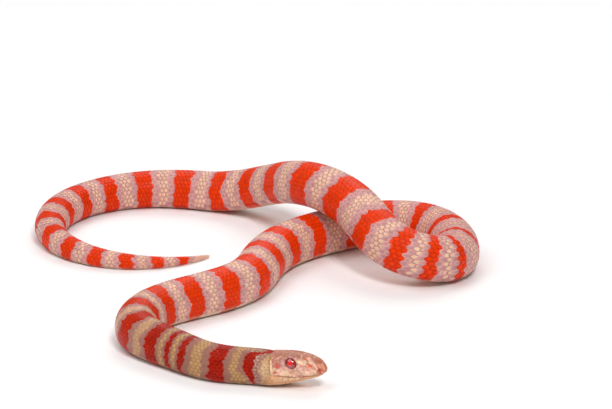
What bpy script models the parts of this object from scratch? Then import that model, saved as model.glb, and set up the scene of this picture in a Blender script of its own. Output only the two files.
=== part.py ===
# Hatchling milk snake, albino, resting on a level floor, at life size.
# +X runs across the pose, +Y away from the viewer, +Z up. The belly rests on z = 0.
# The snake is modelled straight first: s runs from the snout to the tail tip, y across
# and z up from the belly. Every piece is then carried onto the route that the body takes.
import math

import bmesh
import bpy
import numpy as np
from mathutils import Vector

MM = 0.001

# Driving dimensions, in millimetres
SNOUT_TO_VENT = 258.0
TAIL_LENGTH = 45.0
TOTAL_LENGTH = SNOUT_TO_VENT + TAIL_LENGTH
MID_BODY_WIDTH = 8.9
MID_BODY_HEIGHT = 8.2
JAW_WIDTH = 6.7
EYE_RADIUS = 1.02
EYE_PLACE = (5.1, 1.98, 3.5)
NOSTRIL_RADIUS = 0.27
NOSTRIL_PLACE = (1.25, 1.72, 2.6)
MOUTH_LINE = [(-1.0, 1.78), (0.7, 1.64), (2.5, 1.38), (5.0, 1.24), (7.2, 1.32), (8.8, 1.72)]
THROAT_CUT = (10.2, -1.0)
GAP = 0.3
SNOUT_LIFT = 1.35
SNOUT_LIFT_REACH = 16.0
HEAD_ROLL = 7.0
HEAD_ROLL_REACH = 14.0
HEAD_ROLL_PIVOT = -1.2
HUMP_REACH = 36.0
HUMP_CLEARANCE = 0.45
BELLY_CUT = 0.14
LIP_SWELL = 0.09
LIP_HEIGHT = 0.42
BROW_SWELL = 0.16
BROW_PLACE = (5.3, 4.55)
BROW_REACH = (1.9, 0.55)

SIDES_HEAD = 56
SIDES_BODY = 28
RING_STEP_BODY = 2.3
RING_STEP_TAIL = 2.6

# The route of the belly line over the floor, snout first, in millimetres
ROUTE = [
    (3.4, -11.8), (-3.0, -9.2), (-9.4, -7.4), (-15.4, -6.2), (-20.2, -2.4), (-24.6, 2.0),
    (-28.9, 7.0), (-29.6, 14.4), (-24.8, 22.2), (-16.8, 28.2), (-10.4, 36.0), (-7.8, 46.0),
    (-3.4, 55.0), (4.4, 62.4), (13.8, 67.2), (22.2, 66.0), (26.9, 58.8), (27.9, 51.0),
    (25.6, 44.6), (19.4, 42.6), (14.0, 46.2), (11.0, 51.6), (7.8, 56.8), (3.4, 62.2),
    (-0.8, 68.4), (-4.6, 75.8), (-10.2, 83.0), (-19.4, 88.2), (-30.6, 90.0), (-40.8, 86.0),
    (-47.4, 77.2), (-48.6, 66.4), (-43.8, 57.0), (-34.8, 51.8), (-25.4, 52.6), (-17.6, 58.0),
    (-12.0, 64.0),
]
ROUTE_SPREAD = 2.2
ROUTE_SAMPLES = 4000

# Where the body is parted, by name, from the snout back
LENGTHS = [
    ("head", 0.0), ("neck", 13.0), ("body_1", 36.0), ("body_2", 58.0), ("body_3", 84.0),
    ("body_4", 112.0), ("body_5", 137.0), ("body_6", 154.0), ("body_7", 171.0),
    ("body_8", 192.0), ("body_9", 214.0), ("body_10", 236.0), ("tail", SNOUT_TO_VENT),
]

# Girth by distance from the snout: half width, belly, widest line, back and the
# squareness of the upper and lower half of the section (2 is an ellipse)
HALF_JAW = JAW_WIDTH / 2
HALF_BODY = MID_BODY_WIDTH / 2
STATIONS = [
    (0.25, 0.85, 1.60, 2.20, 2.85, 2.0, 2.0),
    (0.7, 1.36, 1.15, 2.20, 3.45, 2.1, 2.1),
    (1.4, 1.74, 0.78, 2.18, 4.00, 2.2, 2.2),
    (2.4, 2.07, 0.48, 2.18, 4.50, 2.3, 2.3),
    (3.8, 2.42, 0.24, 2.22, 5.02, 2.4, 2.4),
    (5.6, 2.76, 0.08, 2.26, 5.48, 2.4, 2.5),
    (7.4, 3.08, 0.00, 2.32, 5.68, 2.3, 2.5),
    (9.2, 0.99 * HALF_JAW, -0.04, 2.40, 5.76, 2.2, 2.5),
    (10.4, HALF_JAW, -0.06, 2.50, 5.80, 2.1, 2.5),
    (12.0, 0.95 * HALF_JAW, -0.10, 2.65, 5.92, 2.1, 2.5),
    (16.0, 0.70 * HALF_BODY, -BELLY_CUT, 2.80, 6.05, 2.0, 2.6),
    (22.0, 0.73 * HALF_BODY, -BELLY_CUT, 2.90, 6.30, 2.0, 2.6),
    (30.0, 0.79 * HALF_BODY, -BELLY_CUT, 3.05, 6.70, 2.0, 2.6),
    (42.0, 0.85 * HALF_BODY, -BELLY_CUT, 3.20, 7.15, 2.0, 2.6),
    (70.0, 0.92 * HALF_BODY, -BELLY_CUT, 3.35, 7.70, 2.0, 2.6),
    (115.0, 0.98 * HALF_BODY, -BELLY_CUT, 3.50, 8.05, 2.0, 2.6),
    (150.0, HALF_BODY, -BELLY_CUT, 3.55, MID_BODY_HEIGHT, 2.0, 2.6),
    (190.0, 0.985 * HALF_BODY, -BELLY_CUT, 3.50, 8.05, 2.0, 2.6),
    (218.0, 0.91 * HALF_BODY, -BELLY_CUT, 3.20, 7.35, 2.0, 2.6),
    (242.0, 0.80 * HALF_BODY, -BELLY_CUT, 2.85, 6.45, 2.0, 2.6),
    (SNOUT_TO_VENT - 3, 0.73 * HALF_BODY, -BELLY_CUT, 2.65, 5.95, 2.0, 2.6),
    (SNOUT_TO_VENT + 4, 0.65 * HALF_BODY, -BELLY_CUT, 2.35, 5.30, 2.0, 2.5),
    (SNOUT_TO_VENT + 18, 0.49 * HALF_BODY, -0.10, 1.75, 3.90, 2.0, 2.4),
    (SNOUT_TO_VENT + 34, 0.27 * HALF_BODY, -0.06, 1.00, 2.15, 2.0, 2.3),
    (TOTAL_LENGTH - 2.5, 0.12 * HALF_BODY, -0.03, 0.50, 1.05, 2.0, 2.2),
    (TOTAL_LENGTH, 0.05 * HALF_BODY, 0.20, 0.42, 0.64, 2.0, 2.0),
]

COLOURS = {
    "head": (0.78, 0.42, 0.38),
    "jaw": (0.86, 0.68, 0.58),
    "body": (0.80, 0.16, 0.06),
    "tail": (0.74, 0.40, 0.36),
    "eye": (0.42, 0.0, 0.02),
}


def clear_scene():
    for obj in list(bpy.data.objects):
        bpy.data.objects.remove(obj, do_unlink=True)


def smooth_curve(knots, values, at):
    """Natural cubic spline through values at knots, read at the places `at`."""
    knots = np.asarray(knots, float)
    values = np.asarray(values, float)
    step = np.diff(knots)
    slope = np.diff(values, axis=0) / step[:, None]
    count = len(knots)
    system = np.eye(count)
    right = np.zeros_like(values)
    for i in range(1, count - 1):
        system[i, i - 1 : i + 2] = step[i - 1], 2 * (step[i - 1] + step[i]), step[i]
        right[i] = 6 * (slope[i] - slope[i - 1])
    bend = np.linalg.solve(system, right)
    i = np.clip(np.searchsorted(knots, at) - 1, 0, count - 2)
    h = step[i][:, None]
    a = (knots[i + 1] - at)[:, None] / h
    b = 1 - a
    straight = a * values[i] + b * values[i + 1]
    return straight + ((a**3 - a) * bend[i] + (b**3 - b) * bend[i + 1]) * h**2 / 6


def eased(x):
    """0 below 0, 1 above 1, and a smooth rise between."""
    x = np.clip(x, 0.0, 1.0)
    return x * x * x * (x * (6 * x - 15) + 10)


def arc_lengths(points):
    steps = np.linalg.norm(np.diff(points, axis=0), axis=1)
    return np.concatenate([[0.0], np.cumsum(steps)])


def softened(points, spread):
    """The same curve at even steps, its tightest bends eased over the spread."""
    along = arc_lengths(points)
    step = along[-1] / (len(points) - 1)
    even = np.arange(len(points)) * step
    points = np.column_stack([np.interp(even, along, column) for column in points.T])
    reach = int(3 * spread / step)
    weights = np.exp(-0.5 * (np.arange(-reach, reach + 1) * step / spread) ** 2)
    weights /= weights.sum()
    before = 2 * points[0] - points[reach:0:-1]
    after = 2 * points[-1] - points[-2 : -reach - 2 : -1]
    padded = np.vstack([before, points, after])
    return np.column_stack([np.convolve(column, weights, "valid") for column in padded.T])


def girth(s):
    """Section sizes at distance s from the snout, read between the stations."""
    table = np.array(STATIONS)
    knots = table[:, 0]
    s = min(max(s, knots[0]), knots[-1])
    i = int(np.clip(np.searchsorted(knots, s) - 1, 0, len(knots) - 2))
    lower, upper = max(i - 1, 0), min(i + 2, len(knots) - 1)
    h = knots[i + 1] - knots[i]
    t = (s - knots[i]) / h
    rise_in = (table[i + 1, 1:] - table[lower, 1:]) / (knots[i + 1] - knots[lower]) * h
    rise_out = (table[upper, 1:] - table[i, 1:]) / (knots[upper] - knots[i]) * h
    return (
        (2 * t**3 - 3 * t**2 + 1) * table[i, 1:]
        + (t**3 - 2 * t**2 + t) * rise_in
        + (3 * t**2 - 2 * t**3) * table[i + 1, 1:]
        + (t**3 - t**2) * rise_out
    )


def section(s, sides):
    """One ring of the body at s: points (s, y, z), with a flat under the belly."""
    half, belly, widest, back, top_square, low_square = girth(s)
    ring = []
    for k in range(sides):
        angle = 2 * math.pi * (k + 0.5) / sides
        across, rise = math.cos(angle), math.sin(angle)
        square = top_square if rise > 0 else low_square
        y = half * math.copysign(abs(across) ** (2 / square), across)
        height = (back - widest) if rise > 0 else (widest - belly)
        z = widest + height * math.copysign(abs(rise) ** (2 / square), rise)
        ring.append((s, y, max(z, 0.0) if belly < 0 else z))
    return ring


def mouth_height(s):
    """Height of the mouth line at distance s from the snout."""
    ends, heights = zip(*MOUTH_LINE)
    at = np.clip([s], ends[0], ends[-1])
    return float(smooth_curve(ends, np.array(heights)[:, None], at)[0, 0])


def bump(x):
    return math.exp(-x * x)


def head_section(s, sides):
    """A ring of the head, swollen a little along the lips and over the eyes."""
    corner = MOUTH_LINE[-1][0]
    fade = 1 - float(eased((s - corner + 1.5) / 3.0))
    ring = []
    for s, y, z in section(s, sides):
        away = abs(z - mouth_height(s)) - LIP_HEIGHT
        lip = LIP_SWELL * fade * bump(away / LIP_HEIGHT)
        along = (s - BROW_PLACE[0]) / BROW_REACH[0]
        brow = BROW_SWELL * bump(along) * bump((z - BROW_PLACE[1]) / BROW_REACH[1])
        side = min(1.0, abs(y) / 0.8)
        ring.append((s, y + math.copysign((lip + brow) * side, y), z))
    return ring


class Route:
    """The belly line in space, with the hump where the body crosses over itself."""

    def __init__(self):
        knots = arc_lengths(np.array(ROUTE))
        plan = smooth_curve(knots, ROUTE, np.linspace(0, knots[-1], ROUTE_SAMPLES))
        plan = softened(plan, ROUTE_SPREAD)
        along = arc_lengths(plan)
        low, high = self.crossing(plan, along)
        self.under = along[low]
        under_back = girth(self.under)[3]
        lift = (under_back + HUMP_CLEARANCE) * self.hump(along - along[high])
        lift += SNOUT_LIFT * eased(1 - along / SNOUT_LIFT_REACH)
        self.points = np.column_stack([plan, lift])
        self.along = arc_lengths(self.points)

    @staticmethod
    def crossing(plan, along):
        """The two places on the route that meet in plan, lower one first."""
        step = 10
        coarse = plan[::step]
        apart = np.linalg.norm(coarse[:, None] - coarse[None], axis=2)
        far = np.abs(along[::step][:, None] - along[::step][None]) > 40
        apart[~far] = np.inf
        first, second = np.unravel_index(np.argmin(apart), apart.shape)
        return step * min(first, second), step * max(first, second)

    @staticmethod
    def hump(distance):
        near = np.clip(1 - np.abs(distance) / HUMP_REACH, 0.0, 1.0)
        return near * near * (3 - 2 * near)

    def place(self, s, y, z):
        """World position of the straight point (s, y, z)."""
        i = int(np.clip(np.searchsorted(self.along, s), 2, len(self.along) - 3))
        t = (s - self.along[i - 1]) / (self.along[i] - self.along[i - 1])
        here = Vector(self.points[i - 1]).lerp(Vector(self.points[i]), t)
        ahead = Vector(self.points[i + 2] - self.points[i - 2]).normalized()
        side = Vector((0, 0, 1)).cross(ahead).normalized()
        up = ahead.cross(side)
        roll = math.radians(HEAD_ROLL) * float(eased(1 - s / HEAD_ROLL_REACH))
        out, rise = y - HEAD_ROLL_PIVOT, z
        y = HEAD_ROLL_PIVOT + out * math.cos(roll) - rise * math.sin(roll)
        z = out * math.sin(roll) + rise * math.cos(roll)
        return (here + side * y + up * z) * MM


def collection(name):
    made = bpy.data.collections.new(name)
    bpy.context.scene.collection.children.link(made)
    return made


def skin(name, colour, roughness):
    material = bpy.data.materials.new(name)
    material.use_nodes = True
    shader = material.node_tree.nodes["Principled BSDF"]
    shader.inputs["Base Color"].default_value = (*colour, 1.0)
    shader.inputs["Roughness"].default_value = roughness
    shader.inputs["Metallic"].default_value = 0.0
    material.diffuse_color = (*colour, 1.0)
    return material


def link_mesh(name, bm, where, material=None):
    bmesh.ops.recalc_face_normals(bm, faces=bm.faces)
    mesh = bpy.data.meshes.new(name)
    bm.to_mesh(mesh)
    bm.free()
    obj = bpy.data.objects.new(name, mesh)
    where.objects.link(obj)
    if material:
        mesh.materials.append(material)
    return obj


def loft(name, places, sides, where, material=None, shape=section):
    """A closed body through the straight sections at these distances."""
    bm = bmesh.new()
    rings = [[bm.verts.new(p) for p in shape(s, sides)] for s in places]
    for near, far in zip(rings, rings[1:]):
        for k in range(sides):
            after = (k + 1) % sides
            bm.faces.new((near[k], near[after], far[after], far[k]))
    for ring in (rings[0], rings[-1]):
        middle = sum((v.co for v in ring), Vector()) / sides
        hub = bm.verts.new(middle)
        for k in range(sides):
            bm.faces.new((ring[k], ring[(k + 1) % sides], hub))
    return link_mesh(name, bm, where, material)


def ball(name, centre, radius, where, segments=16, rings=10, material=None):
    bm = bmesh.new()
    bmesh.ops.create_uvsphere(bm, u_segments=segments, v_segments=rings, radius=radius)
    bmesh.ops.rotate(bm, verts=bm.verts, cent=(0, 0, 0),
                     matrix=Vector((0, 0, 1)).rotation_difference(Vector((0, 1, 0))).to_matrix())
    bmesh.ops.translate(bm, verts=bm.verts, vec=centre)
    return link_mesh(name, bm, where, material)


def cut(obj, cutter, operation="DIFFERENCE"):
    """Applies a Boolean of the cutter to obj's mesh."""
    modifier = obj.modifiers.new("cut", "BOOLEAN")
    modifier.operation = operation
    modifier.solver = "EXACT"
    modifier.object = cutter
    graph = bpy.context.evaluated_depsgraph_get()
    mesh = bpy.data.meshes.new_from_object(obj.evaluated_get(graph))
    obj.modifiers.clear()
    obj.data = mesh


def jaw_block(name, inset, where):
    """All that lies under the mouth line, as a block. inset moves its faces inward."""
    half_across = JAW_WIDTH
    along = np.linspace(MOUTH_LINE[0][0], MOUTH_LINE[-1][0], 16)
    outline = [(s, mouth_height(s) - inset) for s in along]
    outline.append((THROAT_CUT[0] - 2 * inset, THROAT_CUT[1]))
    outline.append((-1.0, THROAT_CUT[1]))
    bm = bmesh.new()
    near = [bm.verts.new((s, -half_across, z)) for s, z in outline]
    far = [bm.verts.new((s, half_across, z)) for s, z in outline]
    count = len(outline)
    for k in range(count):
        after = (k + 1) % count
        bm.faces.new((near[k], near[after], far[after], far[k]))
    bm.faces.new(near)
    bm.faces.new(far)
    return link_mesh(name, bm, where)


def ring_places(start, end, step):
    return np.linspace(start, end, max(2, round((end - start) / step) + 1))


def make_head(where, tools, materials):
    """The head and the lower jaw, cut from one loft along the mouth line."""
    neck_end = LENGTHS[1][1] - GAP / 2
    places = np.concatenate([
        [0.25, 0.42, 0.65, 0.95, 1.3, 1.75],
        np.linspace(2.25, 8.4, 12),
        ring_places(9.0, neck_end, 1.0),
    ])
    head = loft("head", places, SIDES_HEAD, where, materials["head"], head_section)
    jaw = loft("lower_jaw", places, SIDES_HEAD, where, materials["jaw"], head_section)
    cut(head, jaw_block("mouth_cutter", 0.0, tools))
    cut(jaw, jaw_block("jaw_keeper", GAP, tools), "INTERSECT")
    made = [head, jaw]
    for side, name in ((-1, "left"), (1, "right")):
        eye_at = (EYE_PLACE[0], side * EYE_PLACE[1], EYE_PLACE[2])
        nostril_at = (NOSTRIL_PLACE[0], side * NOSTRIL_PLACE[1], NOSTRIL_PLACE[2])
        cut(head, ball(f"socket_{name}", eye_at, EYE_RADIUS + GAP, tools))
        cut(head, ball(f"nostril_{name}", nostril_at, NOSTRIL_RADIUS, tools, 10, 8))
        made.append(ball(f"eye_{name}", eye_at, EYE_RADIUS, where, 20, 14, materials["eye"]))
    return made


def make_lengths(where, materials):
    """The neck, the lengths of the body and the tail, each a closed loft."""
    made = []
    ends = [start for _, start in LENGTHS[1:]] + [TOTAL_LENGTH + GAP / 2]
    for (name, start), end in zip(LENGTHS[1:], ends[1:]):
        is_tail = name == "tail"
        step = RING_STEP_TAIL if is_tail else RING_STEP_BODY
        places = ring_places(start + GAP / 2, end - GAP / 2, step)
        material = materials["tail"] if is_tail else materials["body"]
        made.append(loft(name, places, SIDES_BODY, where, material))
    return made


def pose(objects, route):
    """Carries straight pieces onto the route, and centres the snake on the origin."""
    for obj in objects:
        for vertex in obj.data.vertices:
            vertex.co = route.place(*vertex.co)
    corners = np.array([v.co for obj in objects for v in obj.data.vertices])
    middle = (corners.min(axis=0) + corners.max(axis=0)) / 2
    for obj in objects:
        for vertex in obj.data.vertices:
            vertex.co.x -= middle[0]
            vertex.co.y -= middle[1]
        obj.data.shade_smooth()
    return middle


def main():
    clear_scene()
    where = collection("milk_snake")
    tools = collection("cutters")
    materials = {
        part: skin(f"{part}_skin", colour, 0.12 if part == "eye" else 0.35)
        for part, colour in COLOURS.items()
    }
    pieces = make_head(where, tools, materials) + make_lengths(where, materials)
    for tool in tools.objects:
        tool.hide_render = True
        tool.display_type = "WIRE"
    middle = pose(pieces, Route())
    print("route centre, mm:", (middle / MM).round(3))


main()
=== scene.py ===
import math

import bpy
import numpy as np
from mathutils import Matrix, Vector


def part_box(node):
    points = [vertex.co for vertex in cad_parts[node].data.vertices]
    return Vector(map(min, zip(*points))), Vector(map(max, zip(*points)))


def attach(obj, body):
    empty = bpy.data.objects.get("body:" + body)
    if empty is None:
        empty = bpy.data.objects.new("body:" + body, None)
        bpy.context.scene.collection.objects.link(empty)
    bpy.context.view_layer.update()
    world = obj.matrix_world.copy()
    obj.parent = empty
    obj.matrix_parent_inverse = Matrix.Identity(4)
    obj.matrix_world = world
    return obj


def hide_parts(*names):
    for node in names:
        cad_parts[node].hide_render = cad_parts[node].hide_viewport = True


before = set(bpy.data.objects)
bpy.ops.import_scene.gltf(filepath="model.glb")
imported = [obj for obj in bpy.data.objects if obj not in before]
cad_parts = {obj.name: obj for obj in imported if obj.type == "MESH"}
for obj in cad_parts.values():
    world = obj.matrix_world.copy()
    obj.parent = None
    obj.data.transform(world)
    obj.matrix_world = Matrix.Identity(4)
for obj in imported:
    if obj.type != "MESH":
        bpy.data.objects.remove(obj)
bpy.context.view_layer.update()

# A young albino milk snake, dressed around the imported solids. Lengths are in millimetres until
# a mesh is written. s runs from the snout back, f goes round the body: 0 along the spine,
# +0.25 on the animal's right flank, 0.5 along the belly.
mm = 0.001
print("milk snake: frame loaded")


def deselectAll():
    if bpy.context.object and bpy.context.object.mode != "OBJECT":
        bpy.ops.object.mode_set(mode="OBJECT")
    bpy.ops.object.select_all(action="DESELECT")


def makeActive(obj):
    deselectAll()
    obj.select_set(True)
    bpy.context.view_layer.objects.active = obj


def editAll(obj):
    makeActive(obj)
    bpy.ops.object.mode_set(mode="EDIT")
    bpy.ops.mesh.select_all(action="SELECT")


def endEdit():
    bpy.ops.object.mode_set(mode="OBJECT")


def faceOutward(obj):
    editAll(obj)
    bpy.ops.mesh.normals_make_consistent(inside=False)
    endEdit()


def readPoints(obj):
    points = np.empty(len(obj.data.vertices) * 3)
    obj.data.vertices.foreach_get("co", points)
    return points.reshape(-1, 3)


def writePoints(obj, points):
    obj.data.vertices.foreach_set("co", np.ascontiguousarray(points, dtype=np.float32).ravel())
    obj.data.update()


def writeColours(obj, name, *channels):
    count = len(obj.data.vertices)
    values = np.zeros((count, 4), dtype=np.float32)
    for i, channel in enumerate(channels):
        values[:, i] = channel
    layer = obj.data.attributes.new(name, "FLOAT_COLOR", "POINT")
    layer.data.foreach_set("color", values.ravel())


def smoothStep(low, high, x):
    t = np.clip((np.asarray(x, float) - low) / (high - low), 0.0, 1.0)
    return t * t * (3 - 2 * t)


def normed(vectors):
    return vectors / np.linalg.norm(vectors, axis=-1, keepdims=True)


def bell(x, width):
    return np.exp(-(x / width) ** 2)


def eased(x):
    x = np.clip(x, 0.0, 1.0)
    return x * x * x * (x * (6 * x - 15) + 10)


# The body: the sizes and the route that the solids were made from
body = {
    "length": 303.0,
    "vent": 258.0,
    "width": 8.9,
    "height": 8.2,
    "jawWidth": 6.7,
    "snoutLift": 1.35,
    "snoutLiftReach": 11.0,
    "headRoll": 7.0,
    "headRollReach": 14.0,
    "headRollPivot": -1.2,
    "humpReach": 36.0,
    "humpClearance": 0.45,
    "bellyCut": 0.14,
    "routeSpread": 2.2,
    "routeSamples": 4000,
    "crossingApart": 40.0,  # least length of body between the places that cross
    "centre": (-9.773, 40.557),  # of the route's own sheet
}
# s and height, as in the stations
mouthLine = [(-1, 1.5), (0.7, 1.4), (1.9, 1.2), (3.5, 1.08), (4.7, 1.27), (6.2, 1.74), (7.6, 2.14),
             (8.8, 2.4)]
route = [
    (3.4, -11.8), (-3, -9.2), (-9.4, -7.4), (-15.4, -6.2), (-20.2, -2.4), (-24.6, 2),
    (-28.9, 7), (-29.6, 14.4), (-24.8, 22.2), (-16.8, 28.2), (-10.4, 36), (-7.8, 46),
    (-3.4, 55), (4.4, 62.4), (13.8, 67.2), (22.2, 66), (26.9, 58.8), (27.9, 51),
    (25.6, 44.6), (19.4, 42.6), (14, 46.2), (11, 51.6), (7.8, 56.8), (3.4, 62.2),
    (-0.8, 68.4), (-4.6, 75.8), (-10.2, 83), (-19.4, 88.2), (-30.6, 90), (-40.8, 86),
    (-47.4, 77.2), (-48.6, 66.4), (-43.8, 57), (-34.8, 51.8), (-25.4, 52.6), (-17.6, 58),
    (-12, 64),
]
halfJaw, halfBody = body["jawWidth"] / 2, body["width"] / 2
vent, tailTip, bellyZ = body["vent"], body["length"], -body["bellyCut"]
# s, half width, belly, widest line, back, squareness above and below
stations = np.array([
    (0.25, 0.85, 1.6, 2.2, 2.85, 2, 2),
    (0.7, 1.36, 1.15, 2.2, 3.45, 2.1, 2.1),
    (1.4, 1.74, 0.78, 2.18, 4, 2.2, 2.2),
    (2.4, 2.07, 0.48, 2.18, 4.5, 2.3, 2.3),
    (3.8, 2.42, 0.24, 2.22, 5.02, 2.4, 2.4),
    (5.6, 2.76, 0.08, 2.26, 5.48, 2.4, 2.5),
    (7.4, 3.08, 0, 2.32, 5.68, 2.3, 2.5),
    (9.2, 0.99 * halfJaw, -0.04, 2.4, 5.76, 2.2, 2.5),
    (10.4, halfJaw, -0.06, 2.5, 5.8, 2.1, 2.5),
    (12, 0.95 * halfJaw, -0.1, 2.65, 5.92, 2.1, 2.5),
    (16, 0.7 * halfBody, bellyZ, 2.8, 6.05, 2, 2.6),
    (22, 0.73 * halfBody, bellyZ, 2.9, 6.3, 2, 2.6),
    (30, 0.79 * halfBody, bellyZ, 3.05, 6.7, 2, 2.6),
    (42, 0.85 * halfBody, bellyZ, 3.2, 7.15, 2, 2.6),
    (70, 0.92 * halfBody, bellyZ, 3.35, 7.7, 2, 2.6),
    (115, 0.98 * halfBody, bellyZ, 3.5, 8.05, 2, 2.6),
    (150, halfBody, bellyZ, 3.55, body["height"], 2, 2.6),
    (190, 0.985 * halfBody, bellyZ, 3.5, 8.05, 2, 2.6),
    (218, 0.91 * halfBody, bellyZ, 3.2, 7.35, 2, 2.6),
    (242, 0.8 * halfBody, bellyZ, 2.85, 6.45, 2, 2.6),
    (vent - 3, 0.73 * halfBody, bellyZ, 2.65, 5.95, 2, 2.6),
    (vent + 4, 0.65 * halfBody, bellyZ, 2.35, 5.3, 2, 2.5),
    (vent + 18, 0.49 * halfBody, -0.1, 1.75, 3.9, 2, 2.4),
    (vent + 34, 0.27 * halfBody, -0.06, 1, 2.15, 2, 2.3),
    (tailTip - 2.5, 0.12 * halfBody, -0.03, 0.5, 1.05, 2, 2.2),
    (tailTip, 0.05 * halfBody, 0.2, 0.42, 0.64, 2, 2),
])


def smoothCurve(knots, values, at):  # a natural cubic spline
    knots, values = np.asarray(knots, float), np.asarray(values, float)
    step = np.diff(knots)
    slope = np.diff(values, axis=0) / step[:, None]
    count = len(knots)
    system, right = np.eye(count), np.zeros_like(values)
    for i in range(1, count - 1):
        system[i, i - 1:i + 2] = step[i - 1], 2 * (step[i - 1] + step[i]), step[i]
        right[i] = 6 * (slope[i] - slope[i - 1])
    bend = np.linalg.solve(system, right)
    i = np.clip(np.searchsorted(knots, at) - 1, 0, count - 2)
    h = step[i][:, None]
    a = (knots[i + 1] - at)[:, None] / h
    b = 1 - a
    return a * values[i] + b * values[i + 1] + ((a**3 - a) * bend[i] + (b**3 - b) * bend[i + 1]) * h**2 / 6


def arcLengths(points):
    steps = np.linalg.norm(np.diff(points, axis=0), axis=1)
    return np.concatenate([[0.0], np.cumsum(steps)])


def softened(points, spread):  # even steps, tight bends eased
    along = arcLengths(points)
    step = along[-1] / (len(points) - 1)
    even = np.arange(len(points)) * step
    points = np.column_stack([np.interp(even, along, column) for column in points.T])
    reach = int(3 * spread / step)
    weights = np.exp(-0.5 * (np.arange(-reach, reach + 1) * step / spread) ** 2)
    weights /= weights.sum()
    padded = np.pad(points, ((reach, reach), (0, 0)), "reflect", reflect_type="odd")
    return np.column_stack([np.convolve(column, weights, "valid") for column in padded.T])


def girth(s):
    knots = stations[:, 0]
    s = np.clip(s, knots[0], knots[-1])
    i = np.clip(np.searchsorted(knots, s) - 1, 0, len(knots) - 2)
    low, high = np.maximum(i - 1, 0), np.minimum(i + 2, len(knots) - 1)
    h = (knots[i + 1] - knots[i])[:, None]
    t = (s - knots[i])[:, None] / h
    near, far = stations[i, 1:], stations[i + 1, 1:]
    riseIn = (far - stations[low, 1:]) / (knots[i + 1] - knots[low])[:, None] * h
    riseOut = (stations[high, 1:] - near) / (knots[high] - knots[i])[:, None] * h
    return ((2 * t**3 - 3 * t**2 + 1) * near + (t**3 - 2 * t**2 + t) * riseIn
            + (3 * t**2 - 2 * t**3) * far + (t**3 - t**2) * riseOut)


def mouthHeight(s):
    ends, heights = (np.array(column) for column in zip(*mouthLine))
    return smoothCurve(ends, heights[:, None], np.clip(s, ends[0], ends[-1]))[:, 0]


def humpShape(distance):
    near = np.clip(1 - np.abs(distance) / body["humpReach"], 0.0, 1.0)
    return near * near * (3 - 2 * near)


def layPath():  # the belly line in space, lifted where it crosses over itself
    knots = arcLengths(np.array(route))
    plan = smoothCurve(knots, route, np.linspace(0, knots[-1], body["routeSamples"]))
    plan = softened(plan, body["routeSpread"])
    along = arcLengths(plan)
    step = 10
    coarse, places = plan[::step], along[::step]
    apart = np.linalg.norm(coarse[:, None] - coarse[None], axis=2)
    apart[np.abs(places[:, None] - places[None]) <= body["crossingApart"]] = np.inf
    under, over = sorted(places[list(np.unravel_index(np.argmin(apart), apart.shape))])
    lift = (girth(np.array([under]))[0, 3] + body["humpClearance"]) * humpShape(along - over)
    lift += body["snoutLift"] * eased(1 - along / body["snoutLiftReach"])
    points = np.column_stack([plan, lift])
    ahead = np.zeros_like(points)
    ahead[2:-2] = points[4:] - points[:-4]
    ahead[:2], ahead[-2:] = ahead[2], ahead[-3]
    ahead = normed(ahead)
    side = normed(np.cross((0, 0, 1), ahead))
    return {"s": arcLengths(points), "at": points, "side": side, "up": np.cross(ahead, side)}


path = layPath()


def readPath(name, s):
    return np.column_stack([np.interp(s, path["s"], column) for column in path[name].T])


def carry(s, y, z):  # straight place (s, y, z) to the pose, in the route's own frame
    roll = np.radians(body["headRoll"]) * eased(1 - s / body["headRollReach"])
    out = y - body["headRollPivot"]
    y = body["headRollPivot"] + out * np.cos(roll) - z * np.sin(roll)
    z = out * np.sin(roll) + z * np.cos(roll)
    return readPath("at", s) + readPath("side", s) * y[:, None] + readPath("up", s) * z[:, None]


shift = -np.array([*body["centre"], 0.0])
print("milk snake: route laid", round(path["s"][-1], 1), "mm long")

# The outer surface as a table of rings, read by onSkin
surface = {
    "around": 360,
    "dense": 1440,
    "headStep": 0.1,  # from ring to ring
    "headEnd": 16.0,
    "bodyStep": 0.5,
    "lip": 0.09,
    "lipHeight": 0.42,
    "lipFade": (7.3, 10.3),
    "brow": {"swell": 0.16, "s": 5.3, "long": 1.9, "height": 4.55, "deep": 0.55},
}


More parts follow.
